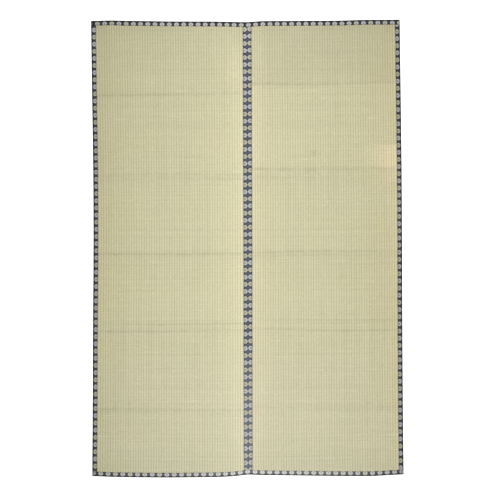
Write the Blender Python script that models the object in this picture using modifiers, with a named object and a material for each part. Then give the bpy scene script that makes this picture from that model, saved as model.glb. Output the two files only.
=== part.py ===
"""A woven rush floor mat, spread flat: two ribbed strips of rush edge to edge, with a tape over their joint
and a folded tape round each edge and end. It has been folded into six sections, whose creases still show.

Metres, +Z up. The origin is the bottom centre, +Y runs along the ribs and the face of the mat is up.
"""

from collections import namedtuple

import bmesh
import bpy
import numpy as np

MM = 0.001

# Driving dimensions
MAT_LENGTH = 2610 * MM
PANEL_WIDTH = 872 * MM
RIBS_PER_PANEL = 61
RUSH_PRESSED = 2.2 * MM  # thickness of the weave under a tape
RUSH_GROOVE = 1.8 * MM  # thickness between two ribs
RUSH_CREST = 2.6 * MM  # thickness on a rib
TAPE_THICKNESS = 1.0 * MM
BINDING_WIDTH = 25 * MM  # of each face of a folded tape
CENTRE_WIDTH = 50 * MM
CENTRE_CREASE = 0.2 * MM  # how far the middle of the centre tape sinks into the joint
CENTRE_CREASE_REACH = 5 * MM
FOLD_CHAMFER = 1.0 * MM  # at both corners of a tape's fold
RIB_PITCH = PANEL_WIDTH / RIBS_PER_PANEL

# A tape folded round an edge, as distances in from the outline, from the inner edge of its back to that of
# its face
FOLDED_IN = np.array([BINDING_WIDTH, FOLD_CHAMFER, 0, 0, FOLD_CHAMFER, BINDING_WIDTH])

# Clearances
GAP = 0.3 * MM
FOLD_GAP = 0.6 * MM  # from the edge of the rush to the tape folded round it
PLY = TAPE_THICKNESS + GAP  # what one layer of tape adds to a stack
RUSH_INSET = TAPE_THICKNESS + FOLD_GAP  # from the mat's outline to the edge of the rush

# The weave is lifted by the layer of tape under its border, and eases down to the floor beside it
SEATED = 2 * RIB_PITCH
EASED = 3 * RIB_PITCH
PRESSED = 26 * MM  # the band of flattened ribs beside a joint or an edge
TAPE_STEP = 4 * MM  # the slope of an end tape down from the tape that it crosses

# Folding creases
RIDGE_REACH = 60 * MM  # from the top of a ridge to its foot
TROUGH_REACH = 10 * MM
TROUGH_DEPTH = 0.6 * MM
FADE_START = 140 * MM  # a ridge dies away between these two distances from the joint
FADE_END = 40 * MM
OUTLINE_SMOOTHING = 150 * MM
END_SMOOTHING = 0.012  # as a share of the mat's width
SMOOTHING_SAMPLES = 9

# Sections of the mat from its bottom end: the ends and the five creases, in mm. A crease with a height is
# a ridge, and one without is a trough. The strips were folded face to face, so their ridges alternate.
Row = namedtuple("Row", "left_y right_y left_edge joint right_edge left_ridge right_ridge")
SECTIONS = (
    Row(left_y=0, right_y=0, left_edge=-876, joint=0, right_edge=872, left_ridge=0, right_ridge=0),
    Row(left_y=387, right_y=390, left_edge=-872, joint=1, right_edge=871, left_ridge=2.5, right_ridge=0),
    Row(left_y=832, right_y=837, left_edge=-870, joint=3, right_edge=872, left_ridge=0, right_ridge=2.0),
    Row(left_y=1273, right_y=1282, left_edge=-865, joint=5, right_edge=875, left_ridge=3.0, right_ridge=0),
    Row(left_y=1715, right_y=1755, left_edge=-865, joint=6, right_edge=876, left_ridge=0, right_ridge=2.5),
    Row(left_y=2191, right_y=2243, left_edge=-871, joint=7, right_edge=874, left_ridge=2.0, right_ridge=0),
    Row(left_y=2610, right_y=2610, left_edge=-876, joint=8, right_edge=872, left_ridge=0, right_ridge=0),
)

# The uneven ends, across the mat from its left edge at 0 to its right edge at 1, in mm
End = namedtuple("End", "across bottom_in top_out")
ENDS = (
    End(across=0.00, bottom_in=11, top_out=7),
    End(across=0.06, bottom_in=6, top_out=10),
    End(across=0.12, bottom_in=3, top_out=7),
    End(across=0.25, bottom_in=0, top_out=2),
    End(across=0.40, bottom_in=1, top_out=0),
    End(across=0.46, bottom_in=6, top_out=-3),
    End(across=0.50, bottom_in=13, top_out=-6),
    End(across=0.54, bottom_in=11, top_out=1),
    End(across=0.65, bottom_in=8, top_out=1),
    End(across=0.80, bottom_in=3, top_out=1),
    End(across=0.90, bottom_in=2, top_out=5),
    End(across=1.00, bottom_in=11, top_out=4),
)
END_STEPS = 40  # straight pieces along an end
OUTLINE_SAMPLES = 400  # where the outline is read for its widest places

COLLECTION = "rush_floor_mat"
RUSH_COLOUR = (0.60, 0.57, 0.37, 1.0)
TAPE_COLOUR = (0.06, 0.07, 0.16, 1.0)
RUSH_ROUGHNESS = 0.6
TAPE_ROUGHNESS = 0.85


def column(table, name):
    return np.array([getattr(row, name) for row in table])


def eased(at, places, values, reach):
    """Straight pieces through values at places, read at each of at, with their corners rounded over reach."""
    spread = np.linspace(-reach, reach, SMOOTHING_SAMPLES)
    return np.interp(np.add.outer(at, spread), places, values).mean(-1)


def outline_x(name, y):
    """The x of an edge or of the joint at the heights y above the bottom end, before centring."""
    places = column(SECTIONS, "right_y" if name == "right_edge" else "left_y") * MM
    return eased(y, places, column(SECTIONS, name) * MM, OUTLINE_SMOOTHING)


def end_y(end, across):
    """The y of the bottom or top outline across the mat, before centring."""
    steps = np.linspace(0, 1, END_STEPS + 1)
    if end == "bottom":
        values = eased(steps, column(ENDS, "across"), column(ENDS, "bottom_in") * MM, END_SMOOTHING)
    else:
        tops = eased(steps, column(ENDS, "across"), column(ENDS, "top_out") * MM, END_SMOOTHING)
        values = MAT_LENGTH + tops
    return np.interp(across, steps, values)


def box_centre():
    """The middle of the whole outline, which becomes x = y = 0."""
    y = np.linspace(0, MAT_LENGTH, OUTLINE_SAMPLES)
    across = np.linspace(0, 1, OUTLINE_SAMPLES)
    x = (outline_x("left_edge", y).min() + outline_x("right_edge", y).max()) / 2
    return np.array([x, (end_y("bottom", across).min() + end_y("top", across).max()) / 2])


def rise(inward):
    """How far the weave is lifted by the tape under it, at a distance in from an edge."""
    return np.interp(inward, [SEATED, EASED], [PLY, 0])


def crease_rows(side):
    """(y, lift, dip) of the rows across a strip at its creases. A ridge lifts the whole weave, and a trough
    only dips its face."""
    rows = []
    for section in SECTIONS[1:-1]:
        y = getattr(section, side + "_y") * MM
        ridge = getattr(section, side + "_ridge") * MM
        reach = RIDGE_REACH if ridge else TROUGH_REACH
        dip = 0 if ridge else TROUGH_DEPTH
        rows += [(y - reach, 0, 0), (y, ridge, dip), (y + reach, 0, 0)]
    return rows


def strip_rows(side, across):
    """The rows of a strip or of its folded tape, from bottom to top: their y at each of across, and each
    row's distance in from the nearer end, lift and dip."""
    offsets = [RUSH_INSET, SEATED, EASED]
    bottom, top = end_y("bottom", across), end_y("top", across)
    creases = crease_rows(side)
    level = np.ones_like(across)
    y = [bottom + offset for offset in offsets]
    y += [level * crease[0] for crease in creases]
    y += [top - offset for offset in reversed(offsets)]
    inward = offsets + [EASED] * len(creases) + offsets[::-1]
    end_rows = [0] * len(offsets)
    lift = end_rows + [crease[1] for crease in creases] + end_rows
    dip = end_rows + [crease[2] for crease in creases] + end_rows
    return np.array(y), np.array(inward), np.array(lift), np.array(dip)


def rib_columns():
    """Places across a strip from its outer edge at 0 to the joint at 1, with the thickness of the weave at
    each. The ribs under the tapes are pressed flat, and between them each rib has a groove and a crest."""
    first = round(SEATED / RIB_PITCH)
    halves = np.arange(2 * first, 2 * (RIBS_PER_PANEL - first) + 1)
    thickness = np.where(halves % 2, RUSH_CREST, RUSH_GROOVE)
    edge = RUSH_INSET / PANEL_WIDTH
    band = PRESSED / PANEL_WIDTH
    joint = 1 - GAP / PANEL_WIDTH
    grooves_and_crests = halves / 2 / RIBS_PER_PANEL
    places = np.concatenate([[edge, band], grooves_and_crests, [1 - band, joint]])
    pressed = [RUSH_PRESSED] * 2
    return places, np.concatenate([pressed, thickness, pressed])


def strip_x(side, inward, y):
    """The x at the share inward from a strip's outer edge to the joint, at the heights y."""
    outer, joint = outline_x(side + "_edge", y), outline_x("joint", y)
    return outer + (joint - outer) * inward


def across_mat(side, inward):
    """A share of a strip's width from its outer edge, as a share of the mat's width from its left edge."""
    return inward / 2 if side == "left" else 1 - inward / 2


def collection():
    found = bpy.data.collections.get(COLLECTION)
    if found is None:
        found = bpy.data.collections.new(COLLECTION)
        bpy.context.scene.collection.children.link(found)
    return found


def material(name, colour, roughness):
    made = bpy.data.materials.new(name)
    made.use_nodes = True
    shader = made.node_tree.nodes["Principled BSDF"]
    shader.inputs["Base Color"].default_value = colour
    shader.inputs["Roughness"].default_value = roughness
    shader.inputs["Metallic"].default_value = 0.0
    return made


def grid_faces(index):
    """Quads between the neighbours of a grid of point numbers."""
    corners = (index[:-1, :-1], index[:-1, 1:], index[1:, 1:], index[1:, :-1])
    return np.stack([corner.ravel() for corner in corners], axis=1).tolist()


def rim(index):
    """The border of a grid of point numbers, as one closed loop."""
    return np.concatenate([index[0, :-1], index[:-1, -1], index[-1, :0:-1], index[:0:-1, 0]])


def add_mesh(name, points, faces, colour, roughness):
    """An object of these points, given before centring, with its faces turned the same way."""
    points = points.copy()
    points[:, :2] -= box_centre()
    mesh = bpy.data.meshes.new(name)
    mesh.from_pydata(points.tolist(), [], faces)
    shape = bmesh.new()
    shape.from_mesh(mesh)
    bmesh.ops.recalc_face_normals(shape, faces=shape.faces)
    shape.to_mesh(mesh)
    shape.free()
    mesh.materials.append(material(name, colour, roughness))
    obj = bpy.data.objects.new(name, mesh)
    collection().objects.link(obj)
    return obj


def add_tape(name, face):
    """A tape whose outer surface is a grid of points, with its thickness on the inner side."""
    index = np.arange(face.shape[0] * face.shape[1]).reshape(face.shape[:2])
    obj = add_mesh(name, face.reshape(-1, 3), grid_faces(index), TAPE_COLOUR, TAPE_ROUGHNESS)
    solid = obj.modifiers.new("Thickness", "SOLIDIFY")
    solid.thickness = TAPE_THICKNESS
    solid.offset = -1
    solid.use_even_offset = True
    return obj


def add_panel(side):
    """One strip of rush, lofted through its rows: ribs on its face, and an underside that lies on the floor
    except where a tape or a ridge lifts it."""
    places, thickness = rib_columns()
    y, inward, lift, dip = strip_rows(side, across_mat(side, places))
    x = strip_x(side, places, y)
    from_joint = (1 - places) * PANEL_WIDTH
    stays_up = np.interp(from_joint, [FADE_END, FADE_START], [0, 1])
    under = rise(places * PANEL_WIDTH) + rise(inward)[:, None] + np.outer(lift, stays_up)
    ribbed = (inward > SEATED)[:, None]
    relief = thickness - dip[:, None] * (thickness != RUSH_PRESSED)
    over = under + np.where(ribbed, relief, RUSH_PRESSED)
    index = np.arange(x.size).reshape(x.shape)
    top, base = rim(index), rim(index + x.size)
    faces = grid_faces(index) + grid_faces(index + x.size)
    faces += np.stack([top, np.roll(top, -1), np.roll(base, -1), base], axis=1).tolist()
    points = np.concatenate([np.stack([x, y, z], axis=-1).reshape(-1, 3) for z in (over, under)])
    return add_mesh("rush_panel_" + side, points, faces, RUSH_COLOUR, RUSH_ROUGHNESS)


def folded_heights(base, top):
    """The z of each point of FOLDED_IN, for folded tapes whose outer faces are at base and top."""
    up = np.array([0, 0, FOLD_CHAMFER, -FOLD_CHAMFER, 0, 0])
    return np.stack([base] * 3 + [top] * 3, axis=-1) + up


def add_edge_binding(side):
    """A tape folded round the outer edge of a strip, whose ends lie inside the end tapes."""
    y, inward, lift, _ = strip_rows(side, across_mat(side, FOLDED_IN / PANEL_WIDTH))
    base = rise(inward) + lift
    towards_joint = 1 if side == "left" else -1
    x = outline_x(side + "_edge", y) + towards_joint * FOLDED_IN
    z = folded_heights(base, base + 2 * PLY + RUSH_PRESSED)
    return add_tape("edge_binding_" + side, np.stack([x, y, z], axis=-1))


def add_centre_tape():
    """A flat tape over the joint, creased along its middle, whose ends lie under the end tapes."""
    ends = [RUSH_INSET, SEATED, EASED]
    bottom, top = end_y("bottom", 0.5), end_y("top", 0.5)
    y = np.array([bottom + end for end in ends] + [top - end for end in reversed(ends)])
    inward = np.array(ends + ends[::-1])
    half = CENTRE_WIDTH / 2
    offset = np.array([-half, -CENTRE_CREASE_REACH, 0, CENTRE_CREASE_REACH, half])
    sink = np.array([0, 0, CENTRE_CREASE, 0, 0])
    x = outline_x("joint", y)[:, None] + offset
    level = rise(inward) + RUSH_PRESSED + PLY + CENTRE_CREASE
    z = level[:, None] - sink
    return add_tape("centre_tape", np.stack([x, y[:, None] + 0 * offset, z], axis=-1))


def end_columns():
    """(side, share of the strip's width in from its outer edge) of the columns of an end tape: its own even
    steps, and where the tapes that it crosses begin and end."""
    crossing = [PRESSED, PRESSED + TAPE_STEP]
    special = [0, *crossing, SEATED, EASED] + [PANEL_WIDTH - place for place in crossing]
    steps = np.arange(1, END_STEPS // 2) * 2 / END_STEPS
    clear = steps[(steps > EASED / PANEL_WIDTH) & (steps < 1 - (PRESSED + TAPE_STEP) / PANEL_WIDTH)]
    shares = np.unique(np.concatenate([np.array(special) / PANEL_WIDTH, clear]))
    left = [("left", share) for share in shares]
    right = [("right", share) for share in shares[::-1]]
    return left + [("left", 1.0)] + right


def add_end_binding(end):
    """One tape folded round the ends of both strips, over the tapes that run along the mat."""
    sides, shares = zip(*end_columns())
    shares = np.array(shares)
    across = np.array([across_mat(side, share) for side, share in zip(sides, shares)])
    outer = end_y(end, across)
    towards_middle = 1 if end == "bottom" else -1
    from_edge = shares * PANEL_WIDTH
    from_joint = PANEL_WIDTH - from_edge
    crossing = [PRESSED, PRESSED + TAPE_STEP]
    over_edge_tape = np.interp(from_edge, crossing, [PLY, 0])
    over_centre_tape = np.interp(from_joint, crossing, [PLY + CENTRE_CREASE, 0])
    top = 2 * PLY + RUSH_PRESSED + rise(from_edge) + over_edge_tape + over_centre_tape
    z = folded_heights(np.zeros_like(top), top)
    y = outer[:, None] + towards_middle * FOLDED_IN
    x = np.stack([strip_x(side, share, y[k]) for k, (side, share) in enumerate(zip(sides, shares))])
    return add_tape("end_binding_" + end, np.stack([x, y, z], axis=-1))


def main():
    for obj in list(bpy.data.objects):
        bpy.data.objects.remove(obj, do_unlink=True)
    for side in ("left", "right"):
        add_panel(side)
        add_edge_binding(side)
    add_centre_tape()
    for end in ("top", "bottom"):
        add_end_binding(end)


main()
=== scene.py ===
"""A woven rush floor mat laid flat on a pale floor: two ribbed strips side by side, a patterned tape over
their joint, a folded tape round every edge and end, and the stitches that hold the tapes.

Metres, +Z up. Heights and widths follow the mat's own sizes, and points are worked out from its bottom end
and then moved so that the middle of the mat is at x = y = 0.
"""

from collections import namedtuple
from functools import partialmethod
from math import cos, pi, radians, sin

import bpy
import numpy as np
from mathutils import Matrix, Vector


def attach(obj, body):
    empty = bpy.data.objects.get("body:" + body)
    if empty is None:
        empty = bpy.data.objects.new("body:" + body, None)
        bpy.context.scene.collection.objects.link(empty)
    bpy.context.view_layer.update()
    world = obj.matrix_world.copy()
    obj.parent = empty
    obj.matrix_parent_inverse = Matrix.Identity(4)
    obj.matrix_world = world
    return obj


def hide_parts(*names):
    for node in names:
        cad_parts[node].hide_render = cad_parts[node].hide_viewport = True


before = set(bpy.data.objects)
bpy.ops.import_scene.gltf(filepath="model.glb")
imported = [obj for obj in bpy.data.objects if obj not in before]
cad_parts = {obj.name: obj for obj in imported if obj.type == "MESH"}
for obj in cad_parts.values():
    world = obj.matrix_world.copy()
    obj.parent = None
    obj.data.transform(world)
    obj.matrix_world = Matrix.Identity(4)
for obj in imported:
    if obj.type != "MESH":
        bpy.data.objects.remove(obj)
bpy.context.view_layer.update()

MM = 0.001
BODY = "root"

# The mat's sizes
MAT_LENGTH = 2610 * MM
PANEL_WIDTH = 872 * MM
RIBS_PER_PANEL = 61
RUSH_PRESSED = 2.2 * MM  # thickness of the weave under a tape
RUSH_GROOVE = 1.8 * MM  # thickness between two ribs
RUSH_CREST = 2.6 * MM  # thickness on a rib
TAPE_THICKNESS = 1.0 * MM
BINDING_WIDTH = 25 * MM  # of each face of a folded tape
CENTRE_WIDTH = 50 * MM
CENTRE_CREASE = 0.2 * MM  # how far the middle of the centre tape sinks into the joint
CENTRE_CREASE_REACH = 5 * MM
RIB_PITCH = PANEL_WIDTH / RIBS_PER_PANEL

# Clearances
GAP = 0.3 * MM
PLY = TAPE_THICKNESS + GAP  # what one layer of tape adds to a stack
RUSH_INSET = 1.6 * MM  # from the mat's outline to the edge of the rush

# The weave is lifted by the layer of tape under its border, and eases down to the floor beside it
SEATED = 2 * RIB_PITCH
EASED = 3 * RIB_PITCH
PRESSED = 26 * MM  # the band of flattened ribs beside a joint or an edge
TAPE_STEP = 6 * MM  # the slope of an end tape down from the tape that it crosses

# Folding creases
RIDGE_REACH = 60 * MM
RIDGE_SHARPNESS = 1.6
STRAY_SMOOTHING = 0.2  # as a share of a strip's width
DIP_REACH = 9 * MM  # half the width of the groove that is pinched along each crease
DIP_DEPTH = 0.5 * MM
MARK_TAIL = 0.42  # how dark the painted shade is beside a crease's line, on its lower side
MARK_TAIL_REACH = 17 * MM
MARK_UNEVENNESS = 0.22  # how much a line's darkness changes along it
MARK_UNEVEN_LENGTH = 110 * MM
CREASE_WANDER = 1.3 * MM
CREASE_WANDER_LENGTH = 150 * MM
LINE_SOFT = 6  # half the width of a fainter line, in mm
FADE_START = 140 * MM  # a ridge dies away between these two distances from the joint
FADE_END = 40 * MM
OUTLINE_SMOOTHING = 150 * MM
END_SMOOTHING = 0.012  # as a share of the mat's width
SMOOTHING_SAMPLES = 9

# The outline, as sections of the mat from its bottom end, in mm
Section = namedtuple("Section", "left_y right_y left_edge joint right_edge")
SECTIONS = (
    Section(0, 0, -876, 0, 872),
    Section(387, 390, -872, 1, 871),
    Section(832, 837, -870, 3, 872),
    Section(1273, 1282, -865, 5, 875),
    Section(1715, 1755, -865, 6, 876),
    Section(2191, 2243, -871, 7, 874),
    Section(2610, 2610, -876, 8, 872),
)

# The folding creases of each strip, in mm: where a crease lies, how far it strays from there at the outer
# edge, in the middle and at the joint, how high it lifts the weave, half the width of its line of painted
# shade, and how dark that line is at the outer edge and at the joint as a share of the brightness
Crease = namedtuple("Crease", "y outer middle joint ridge soft outer_dark joint_dark")
CREASES = {
    "left": (
        Crease(387, 6, 2, -8, 2.5, 5.5, .085, .042),
        Crease(832, 4, 0, 6, 0, 7, .060, .033),
        Crease(1273, 4, -1, 3, 3.0, 6, .080, .070),
        Crease(1715, -16, -4, -15, 0, 8, .018, .038),
        Crease(2191, -7, 1, 6, 2.0, 8, .057, .040),
    ),
    "right": (
        Crease(390, 6, -3, 12, 0, 6, .042, .036),
        Crease(837, -3, -6, 12, 2.0, 5.5, .055, .045),
        Crease(1282, -3, 5, -4, 0, 6, .035, .072),
        Crease(1755, 4, -1, 5, 2.5, 9, .050, .068),
        Crease(2243, 15, -3, 8, 0, 8.5, .030, .066),
    ),
}

# Fainter lines of painted shade where a strip was folded a second time beside a crease, in mm above that crease
Line = namedtuple("Line", "crease above outer_dark joint_dark")
LINES = {
    "left": (
        Line(387, 33, .020, .020),
        Line(832, 38, .015, .065),
        Line(1715, 25, .035, .030),
    ),
    "right": (
        Line(390, 21, .020, .020),
        Line(837, 58, .035, .015),
        Line(1282, -22, .028, .028),
        Line(1755, -47, .010, .050),
    ),
}

# The uneven ends, across the mat from its left edge at 0 to its right edge at 1, in mm
End = namedtuple("End", "across bottom_in top_out")
ENDS = (
    End(0.00, 11, 7),
    End(0.06, 6, 10),
    End(0.12, 3, 7),
    End(0.25, 0, 2),
    End(0.40, 1, 0),
    End(0.46, 6, -3),
    End(0.50, 16, -6),
    End(0.54, 11, 1),
    End(0.65, 8, 1),
    End(0.80, 3, 1),
    End(0.90, 2, 5),
    End(1.00, 11, 4),
)
END_STEPS = 40  # straight pieces along an end
OUTLINE_SAMPLES = 400

# One rib of the weave: places across its pitch, and how far each is up from the groove to the crest
RIB_PLACES = np.array([0.0, 0.10, 0.28, 0.50, 0.72, 0.90])
RIB_HEIGHTS = np.array([0.0, 0.48, 0.90, 1.0, 0.90, 0.48])
RIB_UNEVENNESS = 0.12  # as a share of a rib's height
RIB_UNEVEN_LENGTH = 300 * MM
RIB_UNEVEN_STEP = 3.7 * RIB_PITCH  # keeps the unevenness of one rib apart from the next one's
FIELD_STEP = 62 * MM  # between the rows of the weave where it lies flat
CREASE_ROWS = np.array([0, 3, 6, 10, 16, 26, 40, 62]) * MM  # rows to each side of a crease
LINE_ROWS = np.array([0, 4, 8, 14]) * MM
END_ROWS = np.array([RUSH_INSET, 10 * MM, 20 * MM, SEATED, 36 * MM, EASED, 56 * MM])
ROW_CLEARANCE = 1.5 * MM  # rows closer than this are left out
CREASE_HOLD = 64 * MM  # a crease's shape stays the same this far to each side of it
END_HOLD = 70 * MM

# The tapes' pattern: a medallion of the first kind lies at this place along each tape, measured up from the
# bottom end or across from the middle, and the medallions follow each other at this pitch, in mm
Pattern = namedtuple("Pattern", "first pitch")
PATTERNS = {
    "edge_binding_left": Pattern(first=105.7, pitch=40.93),
    "edge_binding_right": Pattern(first=45.8, pitch=40.94),
    "centre_tape": Pattern(first=80.6, pitch=40.69),
    "end_binding_top": Pattern(first=-801, pitch=40.71),
    "end_binding_bottom": Pattern(first=-788.6, pitch=41.21),
}

# How each tape has worn along its length, which is 0 at the mat's bottom or left end and 1 at the other: how
# dusty its ground is, how faded its medallions are, and how dark all its cloth is with painted shade, which
# lies at its corners. It stays the same past the first and last place
WearAndShade = namedtuple("WearAndShade", "at dust fade soil", defaults=[0])
WEAR_AND_SHADE = {
    "edge_binding_left": (
        WearAndShade(0.00, .05, .12),
        WearAndShade(0.35, .05, .05),
        WearAndShade(0.42, .00, .03),
        WearAndShade(0.75, .00, .03),
        WearAndShade(1.00, .01, .25),
    ),
    "edge_binding_right": (
        WearAndShade(0.00, .02, .06),
        WearAndShade(0.45, .02, .00),
        WearAndShade(0.58, .05, .10),
        WearAndShade(0.75, .01, .02),
        WearAndShade(1.00, .01, .08),
    ),
    "centre_tape": (
        WearAndShade(0.00, .46, .23),
        WearAndShade(0.15, .46, .21),
        WearAndShade(0.27, .24, .16),
        WearAndShade(0.30, .15, .14),
        WearAndShade(0.85, .15, .13),
        WearAndShade(1.00, .12, .30),
    ),
    "end_binding_top": (
        WearAndShade(0.007, .00, .15, .8),
        WearAndShade(0.012, .00, .15),
        WearAndShade(0.120, .00, .28),
        WearAndShade(0.250, .03, .46),
        WearAndShade(0.700, .00, .42),
        WearAndShade(1.000, .00, .22),
    ),
    "end_binding_bottom": (
        WearAndShade(0.010, .04, .20, .3),
        WearAndShade(0.018, .05, .22),
        WearAndShade(0.120, .15, .40),
        WearAndShade(0.300, .33, .52),
        WearAndShade(0.500, .50, .88),
        WearAndShade(0.750, .46, .60),
        WearAndShade(0.900, .18, .48),
        WearAndShade(0.985, .12, .30),
        WearAndShade(0.992, .12, .25, .3),
    ),
}
MEDALLION_PITCH = 41 * MM
MEDALLION_MIDDLE = 13.5 * MM  # from the tape's middle line to the widest part of a medallion
MEDALLION_LENGTH = 14 * MM  # half of its length along the tape
MEDALLION_OUTWARD = 15 * MM  # from its widest part to where its outer side would close
MEDALLION_SQUARENESS = 1.5  # 1 is a diamond and 2 an oval
HEART_MIDDLE = 17 * MM  # from the tape's middle line to a medallion's heart, which runs out to the edge
HEART_WIDTH = 6.5 * MM  # from there towards the middle line
HEART_LENGTH = 6.5 * MM  # half of its length along the tape
DIAMOND_WIDTH = 11 * MM  # half of the diamond on the middle line
DIAMOND_LENGTH = 10 * MM
MIDDLE_SHADE_WIDTH = 2.2 * MM  # half the width of the painted shade that runs along the tape's middle, in its crease or fold
MIDDLE_SHADE = 0.8
SELVAGE = 1.2 * MM
TAPE_THREAD = 0.6 * MM
COLUMN_SHIFT = 0.05  # how far the right column of medallions is ahead of the left one, in pitches

# Where each figure of the pattern starts to fade out and where it ends, as shares of its size
FIGURE_EDGE = (0.96, 1.0)
HEART_EDGE = (0.75, 1.0)
VEIN_EDGE = (0.04, 0.10)
JEWEL_EDGE = (0.42, 0.48)

VEIN_DARK = 0.2
JEWEL_FOLDED = 3  # how much sooner than the rest the diamonds darken in the painted shade towards a fold
MOTTLE_LENGTH = 4 * MM
MOTTLES_PER_PITCH = 9
MOTTLE_TONE = 0.3
MOTTLE_DUST = 0.6
CORD_RELIEF = 0.05 * MM
FIGURE_RELIEF = 0.08 * MM

# The folded tapes
FOLD_ROUND = 2.0 * MM  # how far in from the outline a fold's curve begins
FOLD_STEPS = 8
FOLD_SHADE = 0.9  # how much darker the cloth is at its fold, as painted shade

# Each folded tape, in mm: the width of its upper face, as it isn't folded quite on its middle, and how far
# in from the fold its cloth is darkened with painted shade
Fold = namedtuple("Fold", "face shaded")
FOLDS = {
    "edge_binding_left": Fold(face=26.5, shaded=9.0),
    "edge_binding_right": Fold(face=26.5, shaded=7.8),
    "end_binding_top": Fold(face=28.5, shaded=10.0),
    "end_binding_bottom": Fold(face=26.5, shaded=7.5),
}
FACE_STEPS = 10
TAPE_STATION = 8 * MM  # between the cross sections of a tape
PUCKER = 0.22 * MM
PUCKER_LENGTH = 38 * MM
PUCKER_FINE = 0.25  # how high the finer puckers are, a third as long, as a share of the others
PUCKER_FULLNESS = 1.5
EDGE_WANDER = 0.5 * MM
EDGE_WANDER_LENGTH = 170 * MM
END_WANDER = 0.25 * MM
CORNER_ROUND = 7 * MM
CORNER_PULL = 0.5  # how much of that curve the folded cloth follows

# Places across the centre tape, as shares of half its width
CENTRE_PLACES = np.array([0, .08, .18, .3, .45, .6, .75, .9, 1])

# Places on an end tape where it steps over an edge tape, in from the mat's edge, and over the centre tape, to
# each side of the joint
CORNER_PLACES = np.array([0, 1, 2.5, 5, 24, 26, 27.5, 29, 30.5, 32]) * MM
JOINT_PLACES = CORNER_PLACES[4:]

# Where each random unevenness starts
RIB_SEED = {"left": 1, "right": 2}
WARMTH_SEED = {"left": 5, "right": 6}
BLUSH_SEED = 8
Seeds = namedtuple("Seeds", "wavy pucker")
TAPE_SEEDS = {
    "edge_binding_left": Seeds(wavy=11, pucker=12),
    "edge_binding_right": Seeds(wavy=21, pucker=22),
    "centre_tape": Seeds(wavy=33, pucker=31),
    "end_binding_top": Seeds(wavy=41, pucker=42),
    "end_binding_bottom": Seeds(wavy=51, pucker=52),
}

# The stitches
STITCH_PITCH = 7 * MM
STITCH_LENGTH = 5.6 * MM
STITCH_THICKNESS = 0.5 * MM
STITCH_INSET = 2.5 * MM  # from the inner edge of a tape to the seam
STITCH_BOW = 0.18 * MM
STITCH_TAPER = 0.85
STITCH_SIDES = 6
STITCH_RINGS = 5
THREAD_TWIST = 0.5 * MM
THREAD_MOTTLE = 10 * MM

# The weave's grain, with lengths across the ribs in ribs
STEM_PITCH = 2.1 * MM
STEM_RELIEF = 0.22 * MM
STREAK_RIBS = 3.2  # ribs along a stem over which its colour changes
BROWN_RIBS = 1.5
GROWN_RIBS = 14.0  # areas of greener and yellower rush
GROWN_LENGTH = 300 * MM
RIB_TONE_LENGTH = 500 * MM
BAND_RIBS = 60.0  # bands of like stems across a strip
BAND_LENGTH = 7 * MM
FIBRES_PER_RIB = 2.0
FIBRE_LENGTH = 0.4 * MM
FIBRE_RELIEF = 0.04 * MM
GROOVE_SHARE = 0.26  # of a rib's pitch, from its line

# How much each of these changes the rush's brightness
STREAK_TONE = 0.20
RIB_TONE = 0.06
BAND_TONE = 0.165
# painted shade in the grooves between ribs
GROOVE_SHADE = 0.26
LOOSE_TONE = 0.10
# painted shade at the edges of each stem, where it meets the next one
STEM_EDGE_SHADE = 0.10
# painted shade along the creases and the fainter fold lines
CREASE_SHADE = 2.0

# Single stems that lie on top of the weave, one in each cell of so many ribs by such a length
LOOSE_CELL_RIBS = 9
LOOSE_CELL = 90 * MM
LOOSE_RIBS = 1.7  # half of a loose stem's length
LOOSE_WIDTH = 1.2 * MM  # half
LOOSE_DARK_SHARE = 0.4
LOOSE_ROOM_ACROSS = 0.6  # the part of its cell in which a stem's middle lies
LOOSE_ROOM_ALONG = 0.9

# Painted light on the rush near the joint and the outer edges, as a share of its brightness, and the
# distances over which this dies away: a painted highlight of the sheen beside the joint, and painted shade
# towards the left strip's outer edge, where the right strip is paler instead. Also how warm and pink the
# rush is there. The painted shade near the ends is set further down
LightAndHue = namedtuple("LightAndHue", "joint joint_reach edge edge_reach joint_warmth edge_warmth blush")
LIGHT_AND_HUE = {
    "left": LightAndHue(joint=0.26, joint_reach=130 * MM, edge=-0.11, edge_reach=90 * MM, joint_warmth=-0.15,
                   edge_warmth=0.85, blush=0.0),
    "right": LightAndHue(joint=0.26, joint_reach=62 * MM, edge=0.07, edge_reach=45 * MM, joint_warmth=0.12,
                    edge_warmth=0.85, blush=0.9),
}
JOINT_WARMTH_REACH = 40 * MM
EDGE_WARMTH_REACH = 120 * MM
BLUSH_REACH = 60 * MM
TOP_WARMTH = 0.54
TOP_WARMTH_FULL = 0.45 * MAT_LENGTH  # the height above which the strip has all of it
HUE_UNEVENNESS = 0.4
WARMTH_LENGTH = 260 * MM
BLUSH_LENGTH = 220 * MM

# Painted shade on each section between two creases, as each tilts a little from its folds: how pale
# each section is, from the bottom end
Shade = namedtuple("Shade", "left right")
SHADES = (
    Shade(0.940, 0.960),
    Shade(0.940, 0.950),
    Shade(0.945, 0.950),
    Shade(0.940, 0.950),
    Shade(0.935, 0.970),
    Shade(0.925, 0.905),
)
SHADE_REACH = 12 * MM  # half the width over which one section's shade turns into the next

# Patches where the rush is a little paler or darker, in mm from the bottom end and in from the outer edge,
# with how far they reach across and along
Patch = namedtuple("Patch", "side y inward across along pale")
PATCHES = (
    Patch("right", 500, 85, 70, 420, 0.030),
    Patch("right", 1300, 30, 45, 480, 0.060),
    Patch("right", 1540, 75, 45, 170, 0.028),
    # painted highlight: more of the sheen beside the joint
    Patch("left", 2335, 780, 60, 60, 0.040),
    Patch("left", 2530, 835, 45, 80, -0.090),
    Patch("left", 850, 45, 85, 520, 0.045),
    Patch("left", 1100, 300, 110, 1400, 0.015),
    Patch("left", 1850, 60, 90, 150, -0.025),
)

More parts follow.
